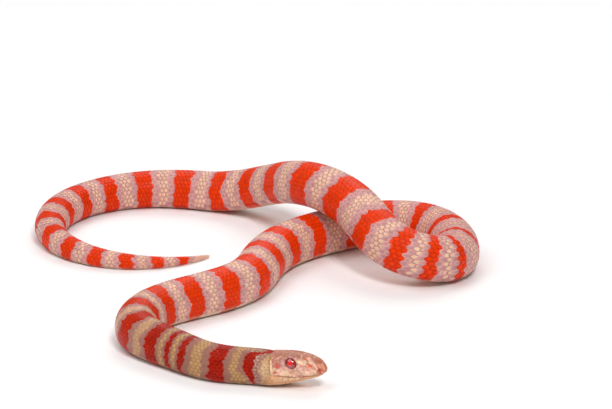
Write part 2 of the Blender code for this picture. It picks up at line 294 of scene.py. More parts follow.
def layRings():
    first, headEnd = stations[0, 0], surface["headEnd"]
    s = np.concatenate([np.arange(first, headEnd, surface["headStep"]),
                        np.arange(headEnd, tailTip, surface["bodyStep"]), [tailTip]])
    half, belly, widest, back, topSquare, lowSquare = girth(s).T[:, :, None]
    angle = np.radians(270.0 - 360.0 * np.arange(surface["dense"] + 1) / surface["dense"])[None]
    across, rise = np.cos(angle), np.sin(angle)
    square = np.where(rise > 0, topSquare, lowSquare)
    y = half * np.sign(across) * np.abs(across) ** (2 / square)
    height = np.where(rise > 0, back - widest, widest - belly)
    z = widest + height * np.sign(rise) * np.abs(rise) ** (2 / square)
    z = np.where((belly < 0) & (z < 0), 0.0, z)
    fadeStart, fadeEnd = surface["lipFade"]
    fade = 1 - eased((s - fadeStart) / (fadeEnd - fadeStart))[:, None]
    away = np.abs(z - mouthHeight(s)[:, None]) / surface["lipHeight"] - 1
    brow = surface["brow"]
    browed = bell(s[:, None] - brow["s"], brow["long"]) * bell(z - brow["height"], brow["deep"])
    swell = surface["lip"] * fade * bell(away, 1) + brow["swell"] * browed
    y = y + np.sign(y) * swell * np.minimum(1.0, np.abs(y) / 0.8)
    steps = np.hypot(np.diff(y, axis=1), np.diff(z, axis=1))
    arcs = np.hstack([np.zeros((len(s), 1)), np.cumsum(steps, axis=1)])
    even = np.arange(surface["around"]) / surface["around"]
    ringY, ringZ = (np.array([np.interp(even * a[-1], a, row) for a, row in zip(arcs, rows)])
                    for rows in (y, z))
    places = carry(np.repeat(s, surface["around"]), ringY.ravel(), ringZ.ravel()) + shift
    places = places.reshape(len(s), surface["around"], 3)
    alongStep = np.gradient(places, axis=0)
    roundStep = np.roll(places, -1, axis=1) - np.roll(places, 1, axis=1)
    outward = np.cross(roundStep, alongStep)
    middle = places.mean(axis=1, keepdims=True)
    if np.sum(outward * (places - middle)) < 0:
        outward = -outward
    surface.update(s=s, places=places, outward=normed(outward), perimeter=arcs[:, -1], height=ringZ)


layRings()


def readRings(name, s, f):
    table, knots = surface[name], surface["s"]
    i = np.clip(np.searchsorted(knots, s, side="right") - 1, 0, len(knots) - 2)
    t = np.clip((s - knots[i]) / (knots[i + 1] - knots[i]), 0.0, 1.0)
    g = (np.asarray(f) + 0.5) % 1.0 * surface["around"]
    k = np.floor(g).astype(int) % surface["around"]
    u, after = g - np.floor(g), (k + 1) % surface["around"]
    if table.ndim == 3:
        t, u = t[:, None], u[:, None]
    near = table[i, k] * (1 - u) + table[i, after] * u
    far = table[i + 1, k] * (1 - u) + table[i + 1, after] * u
    return near * (1 - t) + far * t


def perimeterAt(s):
    return np.interp(s, surface["s"], surface["perimeter"])


def fromSpine(s, f):
    return np.abs(f) * perimeterAt(s)


def fromBelly(s, f):
    return (0.5 - np.abs(f)) * perimeterAt(s)


def onSkin(s, f, h):  # metres in the frame
    return (readRings("places", s, f) + readRings("outward", s, f) * np.asarray(h)[:, None]) * mm


# The rings: centre and half width of each red one, along the body
rings = {
    "red": [
        (13.35, 0.93), (18.6, 1.2), (24.7, 0.66), (27.75, 0.5), (31.7, 1.3), (38.4, 1.55),
        (45, 1.55), (51.8, 1.6), (59, 1.65), (66.6, 1.7), (74.6, 1.75), (82.9, 1.8),
        (91.5, 1.8), (100.3, 1.8), (109.3, 1.75), (118.2, 1.6), (126.6, 1.45), (134.8, 1.05),
        (142.2, 0.7), (148.9, 0.74), (153.5, 0.88), (158.2, 1.15), (165, 1.6), (175.1, 2.2),
        (184.4, 2.15), (194.4, 2.1), (204.4, 2), (214, 1.9), (223.1, 1.85), (231.7, 1.75),
        (239.8, 1.65), (247.4, 1.6), (254.6, 1.5), (261.4, 1.45), (268, 1.4), (274.3, 1.35),
        (280.3, 1.3), (286, 1.2), (291.4, 1.1), (296.4, 1),
    ],
    "lavender": 0.27,  # share of the room between two red rings, on each side
    "endRoom": 5.0,
    "napeLean": 3.1,  # how far the first rings reach forward along the spine
    "nextLean": 0.7,
    "leanWidth": 0.072,
    "napeFlare": 0.6,  # and how far they swing back on the flank
    "wander": 0.18,  # how far a border strays, mm
    "grain": 0.20,  # how far a single scale strays
    "soft": 0.10,
}


def nearestRing(s):
    centres, halves = np.array(rings["red"]).T
    i = np.abs(s[:, None] - centres[None]).argmin(axis=1)
    away = s - centres[i]
    other = np.clip(i + np.where(away > 0, 1, -1), 0, len(centres) - 1)
    room = np.abs(centres[other] - centres[i]) - halves[other] - halves[i]
    return i, away, halves[i], np.where(other == i, rings["endRoom"], room)


def ringMix(s, f, grain):  # red, cream and belly shares of the surface
    forward = rings["napeLean"] * smoothStep(15.5, 10.5, s) + rings["nextLean"] * smoothStep(22, 17, s)
    flare = rings["napeFlare"] * smoothStep(18, 14, s) * smoothStep(0.2, 0.3, np.abs(f))
    s = s + forward * bell(f, rings["leanWidth"]) + flare
    i, away, half, room = nearestRing(s)
    half = half * np.where(i == 0, 1 - 0.75 * smoothStep(0.24, 0.35, np.abs(f)), 1.0)
    border = 2 * i + (away > 0)
    stray = np.sin(2 * np.pi * 2 * f + 2.3 * border) + 0.7 * np.sin(2 * np.pi * 5 * f + 4.1 * border)
    size = smoothStep(0.2, 4.0, room)
    gap = np.abs(away) - half + size * (rings["wander"] * stray + rings["grain"] * grain)
    red = smoothStep(rings["soft"], -rings["soft"], gap)
    lavender = rings["lavender"] * room
    cream = smoothStep(lavender - rings["soft"], lavender + 2 * rings["soft"], gap)
    under = smoothStep(0.36, 0.45, np.abs(f)) * smoothStep(0.8, 2.4, s)
    return red, cream, under


# The head's plates, as seeds in mm: s, and the distance round from the spine line or,
# below the mouth, from the middle of the chin. Those off the middle come in pairs.
plates = {
    "groove": 0.040,
    "grooveWidth": 0.070,
    "pillow": 0.060,
    "pillowWidth": 0.20,
    "rim": 0.10,
    "above": [
        [(0.1, 0), (0.15, 0.9), (0.15, 1.7)],  # rostral
        [(1.2, 0.62)],  # internasal
        [(2.4, 0.8), (2.6, 1.45)],  # prefrontal
        [(4, 0), (4.8, 0), (5.5, 0)],  # frontal
        [(4.2, 1.6), (5.1, 1.75), (5.75, 1.65)],  # supraocular
        [(7, 1.1), (8, 1.5), (8.7, 1.1)],  # parietal
        [(0.5, 1.72)], [(1.28, 2.3)],  # nasals
        [(2.45, 2.7)],  # loreal
        [(3.6, 2.75), (3.7, 3.45)],  # preocular
        [(6.35, 2.75)], [(6.45, 3.9)],  # postoculars
        [(7.45, 3.25)], [(7.4, 4.25)], [(8.5, 2.95)], [(8.6, 3.75)], [(8.5, 4.6)],  # temporals
        [(0.85, 2.85)], [(2, 3.75)], [(3.75, 4.65)], [(5.35, 5.15)], [(6.6, 5.3)],  # upper lip
        [(7.6, 5.35)], [(8.45, 5.45)],
    ],
    "below": [
        [(0.1, 0), (0.3, 0.5)],  # mental
        [(1.55, 0.42), (2.5, 0.6)], [(3.7, 0.5), (4.75, 0.55)],  # chin shields
        [(0.95, 1.1)], [(1.75, 1.6)], [(2.6, 1.95)], [(3.5, 2.3)], [(4.45, 2.55)],  # lower lip
        [(5.4, 2.75)], [(6.35, 2.95)], [(7.3, 3.2)], [(8.2, 3.5)],
        [(2.55, 1.2)], [(3.4, 1.42)], [(4.3, 1.62)], [(5.2, 1.8)],  # between lip and shields
        [(6.1, 2.02)], [(7, 2.25)], [(7.85, 2.5)],
    ],
}
head = {
    "mouthDepth": 0.10,
    "mouthWidth": 0.050,
    # painted shade along the mouth groove: strength and width; the nostril's last entry paints shade inside
    # it
    "paintedMouthShade": 0.62,
    "paintedShadeWidth": 0.070,
    "jawInset": 0.045,
    "mouthEnd": 8.7,
    "socketDepth": 0.62,
    "socketWall": 0.16,
    "eyeRim": {"rise": 0.07, "away": 0.14, "wide": 0.10},
    "nostril": {"s": 0.68, "round": 2.04, "long": 0.52, "wide": 0.25, "slant": 1.05, "depth": 0.26,
                "rim": 0.06, "paintedShade": 0.5},
    "orbit": 0.20,  # swelling of the skin round the eye
    "orbitReach": 1.45,
    # where the body's scales take over from the plates: distance round, s
    "scalesFrom": [(0, 9), (0.5, 9.45), (1.2, 9.62), (1.9, 9.35), (2.3, 8.98), (2.65, 9.2),
                   (3, 9.26), (3.35, 8.98), (3.75, 9.2), (4.15, 9.12), (4.45, 8.84), (4.8, 9.04),
                   (5.1, 8.98), (5.4, 8.74), (5.8, 9), (6.2, 8.95), (6.5, 8.6)],
    "scalesThroat": 5.7,
    "underScales": 0.20,
}


def plateField(s, across, seedLists, seed):  # how far the next border is, and the plate's tone
    seeds, owner = [], []
    for seedList in seedLists:
        paired = all(q > 0 for _, q in seedList)
        for sign in (1, -1):
            label = len(set(owner)) if paired or sign == 1 else owner[-1]
            for place, q in seedList:
                seeds.append((place, q * sign))
                owner.append(label)
    seeds, owner = np.array(seeds), np.array(owner)
    square = (s[:, None] - seeds[None, :, 0]) ** 2 + (across[:, None] - seeds[None, :, 1]) ** 2
    own = square.argmin(axis=1)
    index = np.arange(len(s))
    ownSquare = square[index, own]
    square[owner[own][:, None] == owner[None]] = np.inf
    other = square.argmin(axis=1)
    apart = np.linalg.norm(seeds[own] - seeds[other], axis=1)
    tones = np.random.default_rng(seed).normal(0, 1, owner.max() + 1)
    return (square[index, other] - ownSquare) / (2 * apart), tones[owner[own]]


def scalesFrom(s, f):  # where the body's scales take over from the head's plates
    line = np.interp(fromSpine(s, f), *zip(*head["scalesFrom"]))
    return line + (head["scalesThroat"] - line) * smoothStep(2.05, 1.55, fromBelly(s, f))


def headRelief(s, f, z):  # height over the plain surface, then tone, rim and painted shade in the mouth groove and the nostril
    q = f * perimeterAt(s)
    b = fromBelly(s, f) * np.sign(f)
    overMouth = z - mouthHeight(s)
    edge, tone = np.where(overMouth > 0, plateField(s, q, plates["above"], 3),
                          plateField(s, b, plates["below"], 5))
    closed = smoothStep(head["mouthEnd"] + 0.2, head["mouthEnd"] - 0.6, s)
    edge = np.where(closed > 0.5, np.minimum(edge, np.abs(overMouth)), edge)
    edge = np.minimum(edge, np.abs(scalesFrom(s, f) - s))
    h = plates["pillow"] * (0.4 - np.exp(-edge / plates["pillowWidth"]))
    h -= plates["groove"] * bell(edge, plates["grooveWidth"])
    gape = closed * (0.35 + 0.65 * smoothStep(0.3, 1.4, s))  # shallower at the snout
    h -= head["mouthDepth"] * gape * bell(overMouth, head["mouthWidth"])
    h -= head["jawInset"] * closed * smoothStep(0.0, -0.08, overMouth) * smoothStep(-1.6, -0.6, overMouth)
    fromEye = np.hypot(s - eye["s"], np.abs(q) - eye["round"])
    h += head["orbit"] * np.exp(-(fromEye / head["orbitReach"]) ** 4)
    rim, pit = head["eyeRim"], head["nostril"]
    h += rim["rise"] * bell(fromEye - eye["opening"] - rim["away"], rim["wide"])
    h -= head["socketDepth"] * smoothStep(eye["opening"], eye["opening"] - head["socketWall"], fromEye)
    along, across = s - pit["s"], np.abs(q) - pit["round"]
    turn = np.array([math.cos(pit["slant"]), math.sin(pit["slant"])])
    fromPit = np.hypot((along * turn[0] + across * turn[1]) / pit["long"],
                       (across * turn[0] - along * turn[1]) / pit["wide"])
    h += pit["rim"] * bell(fromPit - 1.30, 0.35)
    h -= pit["depth"] * smoothStep(1.0, 0.30, fromPit)
    # painted shade along the mouth groove and inside the nostril
    line = head["paintedMouthShade"] * closed * bell(overMouth, head["paintedShadeWidth"])
    paintedShade = np.maximum(line, pit["paintedShade"] * smoothStep(0.8, 0.2, fromPit))
    return h, tone, bell(edge, plates["rim"]), paintedShade


# Soft spots of colour on the head: s, distance round, reach along, reach round, strength
headSpots = {
    "cream": [(3.3, 2.62, 0.85, 0.4, 1), (2.8, 2.15, 0.34, 0.28, 0.8), (5.5, 4.95, 1.3, 0.42, 0.8),
              (1.15, 2.2, 0.26, 0.26, 0.8), (0.78, 1.5, 0.22, 0.22, 0.8), (0.36, 0.8, 0.2, 0.34, 0.6),
              (1.3, 2.8, 0.24, 0.3, 0.8), (0.65, 2.95, 0.4, 0.2, 0.7), (0.3, 1.9, 0.22, 0.4, 0.7),
              (7.15, 4.48, 0.55, 0.26, 0.9), (7.9, 4.17, 0.45, 0.2, 0.9), (8.72, 4.2, 0.34, 1.1, 0.9),
              (10.3, 4.4, 1.25, 2.2, 0.5), (8.95, 2.95, 0.17, 0.5, 0.9), (8.4, 4.6, 0.3, 0.4, 0.8),
              (2.6, 4.25, 1, 0.25, 0.6), (3.85, 4.48, 0.3, 0.3, 0.6), (2.95, 4.57, 0.3, 0.2, 0.6),
              # the cream spot at 2.05, 1.92, just above the orange spot, is a painted highlight
              (2.05, 1.92, 0.24, 0.2, 1), (1.75, 3.6, 0.4, 0.16, 0.7), (6.45, 5.45, 0.75, 0.26, 0.8),
              (8.3, 5.5, 0.65, 0.6, 0.7), (4.1, 5.3, 0.7, 0.2, 0.6), (5.05, 4.4, 0.35, 0.2, 0.5)],
    "rose": [(7.3, 3.7, 0.88, 0.5, 0.9), (7.95, 4.82, 0.46, 0.34, 0.8), (9.4, 2.75, 0.28, 0.32, 1),
             (4.95, 4.85, 0.42, 0.22, 0.7), (0.68, 2.04, 0.4, 0.58, 0.6), (2.6, 2.95, 0.3, 0.16, 0.7),
             (3.8, 5.12, 0.42, 0.12, 0.8), (3.05, 4.84, 0.36, 0.12, 0.8), (1.7, 3.35, 0.3, 0.14, 0.5)],
    "orange": [(2.02, 2.45, 0.36, 0.24, 1), (2.85, 1.75, 0.34, 0.2, 0.6), (0.5, 1, 1.3, 1.9, 0.35),
               (0.68, 2.3, 0.3, 0.34, 0.6)],
    "face": [(3, 3.8, 1.9, 0.95, 1), (1.9, 3.2, 0.9, 0.7, 0.9), (5.9, 4.4, 1.6, 0.8, 0.9),
             (7, 5, 1.5, 0.75, 1), (4.3, 5.15, 1.9, 0.75, 1), (1.6, 2, 0.8, 0.5, 0.8),
             (2.3, 1.4, 0.5, 0.4, 0.8), (2.6, 4.5, 0.9, 0.5, 0.9)],
    "lilac": [(6.15, 3.3, 0.35, 0.75, 0.9), (3.85, 3.7, 0.9, 0.3, 0.5), (4.85, 2.18, 0.32, 0.2, 0.8),
              (4.1, 2.16, 0.24, 0.2, 0.8), (2.5, 4.5, 0.35, 0.15, 0.6)],
    "whites": [(4.05, 2.44, 0.42, 0.34, 1), (5.18, 2.7, 0.5, 0.36, 1), (6.28, 3.06, 0.5, 0.36, 0.85),
               (7.3, 3.6, 0.75, 0.55, 0.45)],
}
crownEdge = {
    # distance round, s
    "end": [(0, 9.2), (1.5, 9.2), (3.3, 8.8), (3.8, 8.5), (4.6, 8.2), (5.2, 7.8), (5.8, 7), (6.4, 5.8)],
    "soft": 0.16,
}


def headMix(s, f, z):  # shares of the head's own colours: two sets of four
    q = fromSpine(s, f)
    overMouth = z - mouthHeight(s)
    end = np.interp(q, *zip(*crownEdge["end"]))
    crown = smoothStep(end + crownEdge["soft"], end - crownEdge["soft"], s)
    crown = crown * smoothStep(-0.05, 0.05, overMouth)
    jaw = smoothStep(0.03, -0.03, overMouth) * smoothStep(10.5, 8.5, s)
    mix = {}
    for name, places in headSpots.items():
        below = name == "whites"  # these lie on the lower lip, told from the middle of the chin
        across, where = (fromBelly(s, f), jaw) if below else (q, 1 - jaw)
        spots = [strength * np.exp(-(((s - at) / long) ** 2 + ((across - away) / wide) ** 2) ** 1.5)
                 for at, away, long, wide, strength in places]
        mix[name] = where * np.max(spots, axis=0)
    return (crown, mix["cream"], mix["rose"], mix["orange"]), (mix["face"], mix["lilac"], mix["whites"], jaw)


def findEye():  # the socket goes where the solid eye comes nearest the skin
    middle = np.mean(np.array(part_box("eye_right")), axis=0) / mm
    gaps = np.linalg.norm(surface["places"] - middle, axis=2)
    i, k = np.unravel_index(gaps.argmin(), gaps.shape)
    around = k / surface["around"] - 0.5
    eye.update(s=surface["s"][i] + eye["back"], round=abs(around) * surface["perimeter"][i] + eye["down"],
               deep=gaps.min())
    print("milk snake: eye at", round(eye["s"], 2), "and", round(eye["round"], 2), "round, out by",
          round(eye["radius"] - eye["deep"], 2))


# back and down: how far the eye is set from the solid's place, mm
eye = {"radius": 1.02, "opening": 0.94, "back": 0.18, "down": 0.22}
findEye()

# The skin: a fine sheet round the head, a plainer one under the scales, bridged
skin = {
    "headEnd": 14.0,
    "headRings": 212,
    "capRings": 12,
    "headSides": 240,
    "bodyStart": 14.5,
    "bodyRings": 460,
    "bodySides": 56,
    "snoutBulge": 0.28,
    "headShare": 0.56,  # of the map
    "bodyStrips": 2,
    "weld": 0.0000008,  # metres
}


def sheet(name, rows, columns):
    deselectAll()
    bpy.ops.mesh.primitive_grid_add(x_subdivisions=rows, y_subdivisions=columns, size=1)
    obj = bpy.context.object
    obj.name = name
    flat = readPoints(obj)
    return obj, flat[:, 0] + 0.5, flat[:, 1] + 0.5


def mapSheet(obj, u, v):
    layer = obj.data.uv_layers[0]
    layer.name = "OFBake"
    corners = np.empty(len(obj.data.loops), dtype=np.int64)
    obj.data.loops.foreach_get("vertex_index", corners)
    layer.data.foreach_set("uv", np.column_stack([u[corners], v[corners]]).astype(np.float32).ravel())


def paintPoints(obj, s, f, rim=0.0, tone=0.0, grain=0.0, line=0.0, z=None):
    red, cream, under = ringMix(s, f, grain)
    upper, lower = headMix(s, f, readRings("height", s, f) if z is None else z)
    # 0 on the neck, 1 further back: blends the neck's darker colours, partly painted shade, into the body's
    pastShadedNeck, frost = smoothStep(26.0, 60.0, s), smoothStep(14.6, 13.2, s)
    writeColours(obj, "ringMix", red, cream, under, line)
    writeColours(obj, "headMix", *upper)
    writeColours(obj, "faceMix", *lower)
    writeColours(obj, "detail", rim, 0.5 + 0.16 * np.clip(tone, -2.5, 2.5), pastShadedNeck, frost)


def skinDepth(s, f):
    hidden = smoothStep(0.0, 0.22, s - scalesFrom(s, f)) * smoothStep(tailTip - 0.6, tailTip - 1.8, s)
    return -head["underScales"] * hidden


def makeHeadSheet():
    obj, u, v = sheet("head_sheet", skin["headRings"] + skin["capRings"], skin["headSides"])
    share = skin["capRings"] / (skin["headRings"] + skin["capRings"])
    first = surface["s"][0]
    shrink = np.sin(np.pi / 2 * np.clip(u / share, 0.0, 1.0))
    s = first + (skin["headEnd"] - first) * np.clip((u - share) / (1 - share), 0.0, 1.0)
    f = v - 0.5
    z = readRings("height", s, f)
    middle = surface["height"][0].mean()
    z = middle + (z - middle) * shrink
    # on the cap the way round closes in: on the spine line above the mouth, on the chin below
    closing = np.where(z > mouthHeight(s), np.abs(f) * shrink, 0.5 - (0.5 - np.abs(f)) * shrink)
    place = np.sign(f) * closing
    h, tone, rim, line = headRelief(s, place, z)
    plated = smoothStep(0.25, 0.0, s - scalesFrom(s, f))
    points = onSkin(s, f, h * plated * shrink + skinDepth(s, f))
    cap = shrink < 1
    around = surface["around"]
    hub = onSkin(np.full(around, first), np.arange(around) / around, np.zeros(around)).mean(axis=0)
    forward = readPath("at", np.array([0.0]))[0] - readPath("at", np.array([1.0]))[0]
    forward = normed(forward) * skin["snoutBulge"] * mm
    bulge = (1 - shrink[cap] ** 2)[:, None]
    points[cap] = hub + (points[cap] - hub) * shrink[cap][:, None] + forward * bulge
    writePoints(obj, points)
    mapSheet(obj, v, 1 - skin["headShare"] * (1 - u))
    paintPoints(obj, s, place, rim * plated, tone, 0.0, line * plated, z)
    return obj


def makeBodySheet():
    obj, u, v = sheet("skin", skin["bodyRings"], skin["bodySides"])
    s = skin["bodyStart"] + (tailTip - skin["bodyStart"]) * u
    f = v - 0.5
    points = onSkin(s, f, skinDepth(s, f))
    tip = u > 1 - 0.5 / skin["bodyRings"]
    points[tip] = points[tip].mean(axis=0)
    writePoints(obj, points)
    strips = skin["bodyStrips"]
    strip = np.minimum(np.floor(u * strips), strips - 1)
    room = 0.98 * (1 - skin["headShare"]) / strips
    mapSheet(obj, np.clip(u * strips - strip, 0.0, 1.0), room * (strip + 0.01 + 0.97 * v))
    paintPoints(obj, s, f)
    return obj


def makeSkin():
    headSheet, obj = makeHeadSheet(), makeBodySheet()
    makeActive(obj)
    headSheet.select_set(True)
    bpy.ops.object.join()
    editAll(obj)
    bpy.ops.mesh.remove_doubles(threshold=skin["weld"])  # the seam and both poles
    bpy.ops.mesh.select_all(action="DESELECT")
    bpy.ops.mesh.select_mode(type="EDGE")
    bpy.ops.mesh.select_non_manifold()
    bpy.ops.mesh.bridge_edge_loops()
    endEdit()
    faceOutward(obj)
    obj.data.shade_smooth()
    return obj


# The scales: one is modelled, arrayed, and each copy is laid in its place in the rows
scales = {
    "sides": 12,
    "insets": [(0.13, 0.42), (0.27, 0.38), (0.30, 0.20)],  # and how far each one rises
    "fullSizeAt": 100.0,  # s of a scale with the heights below; others go by their pitch
    "mapHalf": 0.46,
    "pitch": [(5, 0.64), (10, 0.68), (20, 0.72), (45, 0.82), (90, 0.92), (200, 0.92),
              (240, 0.88), (258, 0.84), (275, 0.8), (295, 0.68), (303, 0.6)],
    "rowWidths": [1.04] + [1] * 8 + [1.03, 1.12, 1.32],  # spine row, then outward
    "rowEnds": {7: 206, 8: 206, 5: 263, 6: 263, 3: 276, 4: 276, 9: 289, 10: 289},  # s
    "share": 0.35,  # of the girth, from the spine to the belly plates
    "least": 0.25,  # of the widest row: where a row is narrower, it is left out
    "throatRows": 4,
    "throatEnd": 12.2,
    "throatHalf": 1.75,
    "throatWiden": 1.6,
    "front": 0.96,  # reach of a scale from its middle, in pitches
    "rear": 0.80,
    "halfWidth": 0.69,  # in row widths
    "lift": -0.090,  # height of a scale's middle over the plain surface, mm
    "tilt": 0.100,  # rise from one scale to the next
    "dome": 0.050,
    "thickness": 0.075,
    "taper": 0.05,
    "point": 1.22,  # over 1 gives the rear a blunt point
    "blend": 0.45,  # how much a scale's colour follows the pattern within it
    "neckBlend": 0.55,
    "pieces": [("scales_neck", 42.0), ("scales_front", 84.0), ("scales_middle", 126.0),
               ("scales_back", 168.0), ("scales_rear", 214.0), ("scales_tail", 304.0)],
    "seed": 11,
}
alongGrid = np.arange(0.0, tailTip + 1.0, 0.5)


def layRows():  # the middle line and the width of every row, as shares of the girth
    widths = np.array([np.full(len(alongGrid), w) for w in scales["rowWidths"]])
    for row, end in scales["rowEnds"].items():
        widths[row] *= np.maximum(smoothStep(end + 2.0, end - 2.0, alongGrid), 1e-3)
    before = np.cumsum(widths, axis=0) - widths[:1] / 2
    total = before[-1]
    middles = (before - widths / 2) / total * scales["share"]
    middles[0] = 0.0
    widths = widths / total * scales["share"]
    steps = 0.5 - scales["share"]
    count = scales["throatRows"]
    for m in range(1, count + 2):
        middle = scales["share"] + steps * (m - 0.5) / (count + 0.5)
        middles = np.vstack([middles, np.full(len(alongGrid), middle)])
        widths = np.vstack([widths, np.full(len(alongGrid), steps / (count + 0.5))])
    return middles, widths


rowMiddles, rowShares = layRows()
dorsalRows = len(scales["rowWidths"])


def readRows(table, row, s):
    place = np.clip(s / (alongGrid[1] - alongGrid[0]), 0, len(alongGrid) - 1.001)
    low = place.astype(int)
    t = place - low
    return table[row, low] * (1 - t) + table[row, low + 1] * t


def pitchAt(s):
    ends, values = zip(*scales["pitch"])
    return np.interp(s, ends, values)


countGrid = np.concatenate([[0.0], np.cumsum(np.diff(alongGrid) / pitchAt(alongGrid[:-1] + 0.25))])


def placeOf(number):  # where the number'th scale from the snout lies
    return np.interp(number, countGrid, alongGrid)


def layLattice():  # s, row and side of every small scale
    found = []
    least = scales["least"] * rowShares[:dorsalRows, 100].max()
    for row in range(len(rowMiddles)):
        middleRow = row == len(rowMiddles) - 1
        for side in ((1,) if row == 0 or middleRow else (1, -1)):
            number = np.arange(0, int(countGrid[-1])) + 0.5 * (row % 2)
            s = placeOf(number)
            f = side * readRows(rowMiddles, row, s)
            keep = (s > scalesFrom(s, f) + 0.30 * pitchAt(s)) & (s < tailTip - 0.9)
            if row < dorsalRows:
                keep &= readRows(rowShares, row, s) > least
                keep &= s < scales["rowEnds"].get(row, tailTip)
            else:
                half = scales["throatHalf"] + scales["throatWiden"] * smoothStep(8.4, 9.4, s)
                keep &= (s < scales["throatEnd"]) & (fromBelly(s, f) < half)
            for place in s[keep]:
                found.append((place, row, side))
    found.sort()
    return np.array(found)


def scaleUnit():
    deselectAll()
    bpy.ops.mesh.primitive_cylinder_add(vertices=scales["sides"], radius=1, depth=1,
                                        location=(0, 0, -0.5), end_fill_type="NGON")
    unit = bpy.context.object
    unit.name = "scale_unit"
    bpy.ops.object.transform_apply(location=True)
    editAll(unit)
    bpy.ops.mesh.select_all(action="DESELECT")
    endEdit()
    for face in unit.data.polygons:
        face.select = face.normal.z > 0.9
    bpy.ops.object.mode_set(mode="EDIT")
    bpy.ops.mesh.select_mode(type="FACE")
    for thickness, rise in scales["insets"]:
        bpy.ops.mesh.inset(thickness=thickness, depth=0)
        bpy.ops.transform.translate(value=(0, 0, rise))
    endEdit()
    return unit


def arrayed(unit, name, count):
    makeActive(unit)
    bpy.ops.object.duplicate()
    piece = bpy.context.object
    piece.name = name
    rows = piece.modifiers.new("copies", "ARRAY")
    rows.count = count
    bpy.ops.object.modifier_apply(modifier="copies")
    return piece


# lays one copy of the unit at each place: its x runs rearward, its y round the body
def layPlates(unit, name, span, s0, f0, halfWidth, tone, grain, shape, centre=None):
    points = readPoints(unit)
    x, y, z = points.T
    count, radius = len(points), np.hypot(x, y)
    rim = np.where(z < 0, 1.0, smoothStep(0.45, 0.98, radius))
    if "point" in shape:
        turn, rear = radius + 1e-9, x > 0
        x = np.where(rear, radius * np.abs(x / turn) ** shape["point"], x)
        y = np.where(rear, radius * np.sign(y) * np.abs(y / turn) ** shape["point"], y)
    piece = arrayed(unit, name, len(s0))
    atS, atF, pitch = s0[:, None], f0[:, None], pitchAt(s0)[:, None]
    halfWidth = np.broadcast_to(halfWidth, len(s0))[:, None]
    reach = x * np.where(x > 0, shape["rear"], shape["front"])
    along = atS + (reach - shape.get("sweep", 0.0) * y * y) * pitch
    narrow = 1 - shape["taper"] * np.maximum(x, 0) ** 2
    turned = (centre(along) if centre else atF) + y * narrow * halfWidth
    size = pitch / pitchAt(scales["fullSizeAt"])
    rise = shape["tilt"] * reach + z * np.where(z > 0, shape["dome"], shape["thickness"])
    h = shape["lift"] + rise * size
    writePoints(piece, onSkin(along.ravel(), turned.ravel(), h.ravel()))
    low, high = span
    u = (atS + scales["mapHalf"] * x * pitch - low) / (high - low)
    v = atF % 1.0 + scales["mapHalf"] * y * halfWidth / shape["halfWidth"]
    v = 0.5 + 0.96 * ((v + 0.5) % 1.0 - 0.5) if shape.get("wrap") else v
    mapSheet(piece, np.clip(0.02 + 0.96 * u, 0, 1).ravel(), v.ravel())
    blend = shape["blend"] + (shape["neckBlend"] - shape["blend"]) * smoothStep(40, 20, atS)
    paintS = atS + blend * (along - atS)
    paintF = atF + (turned - atF) * shape.get("blendRound", blend)
    paintPoints(piece, paintS.ravel(), paintF.ravel(), np.tile(rim, len(s0)),
                np.repeat(tone, count), np.repeat(grain, count))
    faceOutward(piece)
    piece.data.shade_smooth()
    return piece


def makeScales():
    unit = scaleUnit()
    lattice = layLattice()
    s, row, side = lattice[:, 0], lattice[:, 1].astype(int), lattice[:, 2]
    draw = np.random.default_rng(scales["seed"])
    tone, grain = draw.normal(0, 1, len(s)), draw.uniform(-1, 1, len(s))
    made, low = [], 0.0
    for name, high in scales["pieces"]:
        mine = (s >= low) & (s < high)
        places, rows, sides = s[mine], row[mine], side[mine]

        def centre(along):
            return sides[:, None] * readRows(rowMiddles, rows[:, None], along)

        f0 = sides * readRows(rowMiddles, rows, places)
        width = readRows(rowShares, rows, places)
        width = np.maximum(width, 0.6 * width.mean())
        span = max(low, 5.0) - 1.0, min(high, tailTip) + 1.0
        made.append(layPlates(unit, name, span, places, f0, scales["halfWidth"] * width,
                              tone[mine], grain[mine], scales, centre))
        low = high
    bpy.data.objects.remove(unit, do_unlink=True)
    print("milk snake:", len(s), "scales laid")
    return made


# The belly plates: wide ones under the body, one before the vent, pairs under the tail
bellyPlates = {
    "first": 12.0,
    "halfRound": 0.160,
    "cuts": 15,
    "front": 0.75, "rear": 0.72, "taper": 0.0, "sweep": 0.16, "halfWidth": 1.0, "wrap": True,
    "lift": -0.075, "tilt": 0.085, "dome": 0.028, "thickness": 0.085,
    "blend": 0.3, "neckBlend": 0.5, "blendRound": 1.0,
    "tailHalf": 0.086,
    "tailMiddle": 0.425,
    "seed": 23,
}


def wideUnit():
    deselectAll()
    bpy.ops.mesh.primitive_grid_add(x_subdivisions=4, y_subdivisions=bellyPlates["cuts"], size=2)
    unit = bpy.context.object
    unit.name = "belly_unit"
    editAll(unit)
    bpy.ops.mesh.extrude_region_move(TRANSFORM_OT_translate={"value": (0, 0, 1)})
    endEdit()
    points = readPoints(unit)
    top = points[:, 2] > 0.5
    edge = np.maximum(np.abs(points[:, 0]), np.abs(points[:, 1])) > 0.99
    points[:, 2] = np.where(top, np.where(edge, 0.0, 1.0), -1.0)
    points[np.abs(points[:, 0]) > 0.99, 1] *= 0.97
    writePoints(unit, points)
    faceOutward(unit)
    return unit


